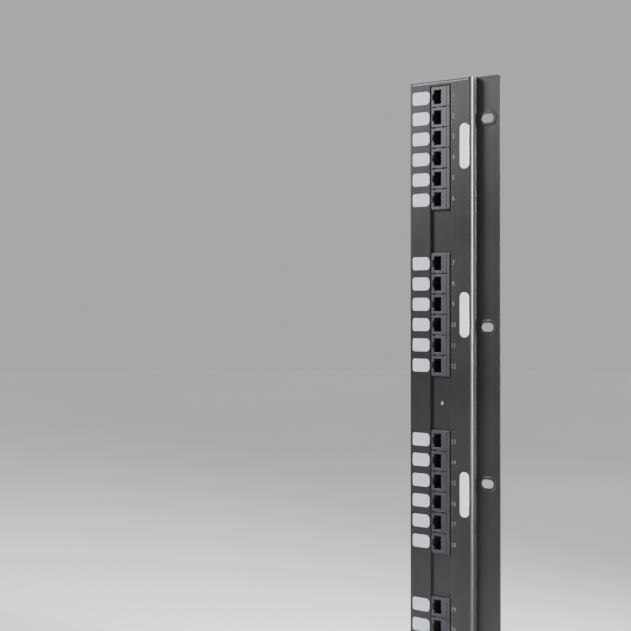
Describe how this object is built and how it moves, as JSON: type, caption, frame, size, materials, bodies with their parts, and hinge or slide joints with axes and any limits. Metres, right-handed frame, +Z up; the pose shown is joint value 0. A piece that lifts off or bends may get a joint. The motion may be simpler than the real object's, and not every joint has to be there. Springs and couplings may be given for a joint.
{
  "type": "vertical patch panel",
  "caption": "Upright zero-unit patch panel: a formed steel strip with a mounting flange, carrying slide-out jack modules, write-on labels and punch-down blocks.",
  "frame": {"origin": "on the back of the mounting flange, on the line of its slots, at mid-height", "axes": "+X the viewer's right (flange side), +Y back into the rack, +Z up"},
  "size_m": [0.0946, 0.032, 0.5614],
  "materials": {
    "black_powder_coat": "satin, fine orange peel",
    "charcoal_plastic": "satin moulded",
    "black_plastic": "satin moulded",
    "gold_plate": "bright plated",
    "board_laminate": "solder mask",
    "block_plastic": "satin moulded",
    "tin_plate": "bright plated",
    "zinc_steel": "zinc plated",
    "spring_steel": "bright",
    "label_white": "matt write-on film"
  },
  "bodies": {
    "panel": {"panel_frame": "black_powder_coat", "port_labels_1": "label_white", "module_label_1": "label_white", "port_labels_2": "label_white", "module_label_2": "label_white", "port_labels_3": "label_white", "module_label_3": "label_white", "port_labels_4": "label_white", "module_label_4": "label_white"},
    "module_1": {"module_1_housing": "charcoal_plastic", "module_1_contact_carriers": "black_plastic", "module_1_jack_contacts": "gold_plate", "module_1_circuit_board": "board_laminate", "module_1_wire_blocks": "block_plastic", "module_1_wire_contacts": "tin_plate", "module_1_board_screws": "zinc_steel", "module_1_upper_clip": "spring_steel", "module_1_lower_clip": "spring_steel"},
    "module_2": {"module_2_housing": "charcoal_plastic", "module_2_contact_carriers": "black_plastic", "module_2_jack_contacts": "gold_plate", "module_2_circuit_board": "board_laminate", "module_2_wire_blocks": "block_plastic", "module_2_wire_contacts": "tin_plate", "module_2_board_screws": "zinc_steel", "module_2_upper_clip": "spring_steel", "module_2_lower_clip": "spring_steel"},
    "module_3": {"module_3_housing": "charcoal_plastic", "module_3_contact_carriers": "black_plastic", "module_3_jack_contacts": "gold_plate", "module_3_circuit_board": "board_laminate", "module_3_wire_blocks": "block_plastic", "module_3_wire_contacts": "tin_plate", "module_3_board_screws": "zinc_steel", "module_3_upper_clip": "spring_steel", "module_3_lower_clip": "spring_steel"},
    "module_4": {"module_4_housing": "charcoal_plastic", "module_4_contact_carriers": "black_plastic", "module_4_jack_contacts": "gold_plate", "module_4_circuit_board": "board_laminate", "module_4_wire_blocks": "block_plastic", "module_4_wire_contacts": "tin_plate", "module_4_board_screws": "zinc_steel", "module_4_upper_clip": "spring_steel", "module_4_lower_clip": "spring_steel"}
  },
  "joints": [
    {"name": "module_1_slide", "type": "slide", "parent": "panel", "child": "module_1", "axis": [0, -1, 0], "range_m": [0, 0.045]},
    {"name": "module_2_slide", "type": "slide", "parent": "panel", "child": "module_2", "axis": [0, -1, 0], "range_m": [0, 0.045]},
    {"name": "module_3_slide", "type": "slide", "parent": "panel", "child": "module_3", "axis": [0, -1, 0], "range_m": [0, 0.045]},
    {"name": "module_4_slide", "type": "slide", "parent": "panel", "child": "module_4", "axis": [0, -1, 0], "range_m": [0, 0.045]}
  ]
}
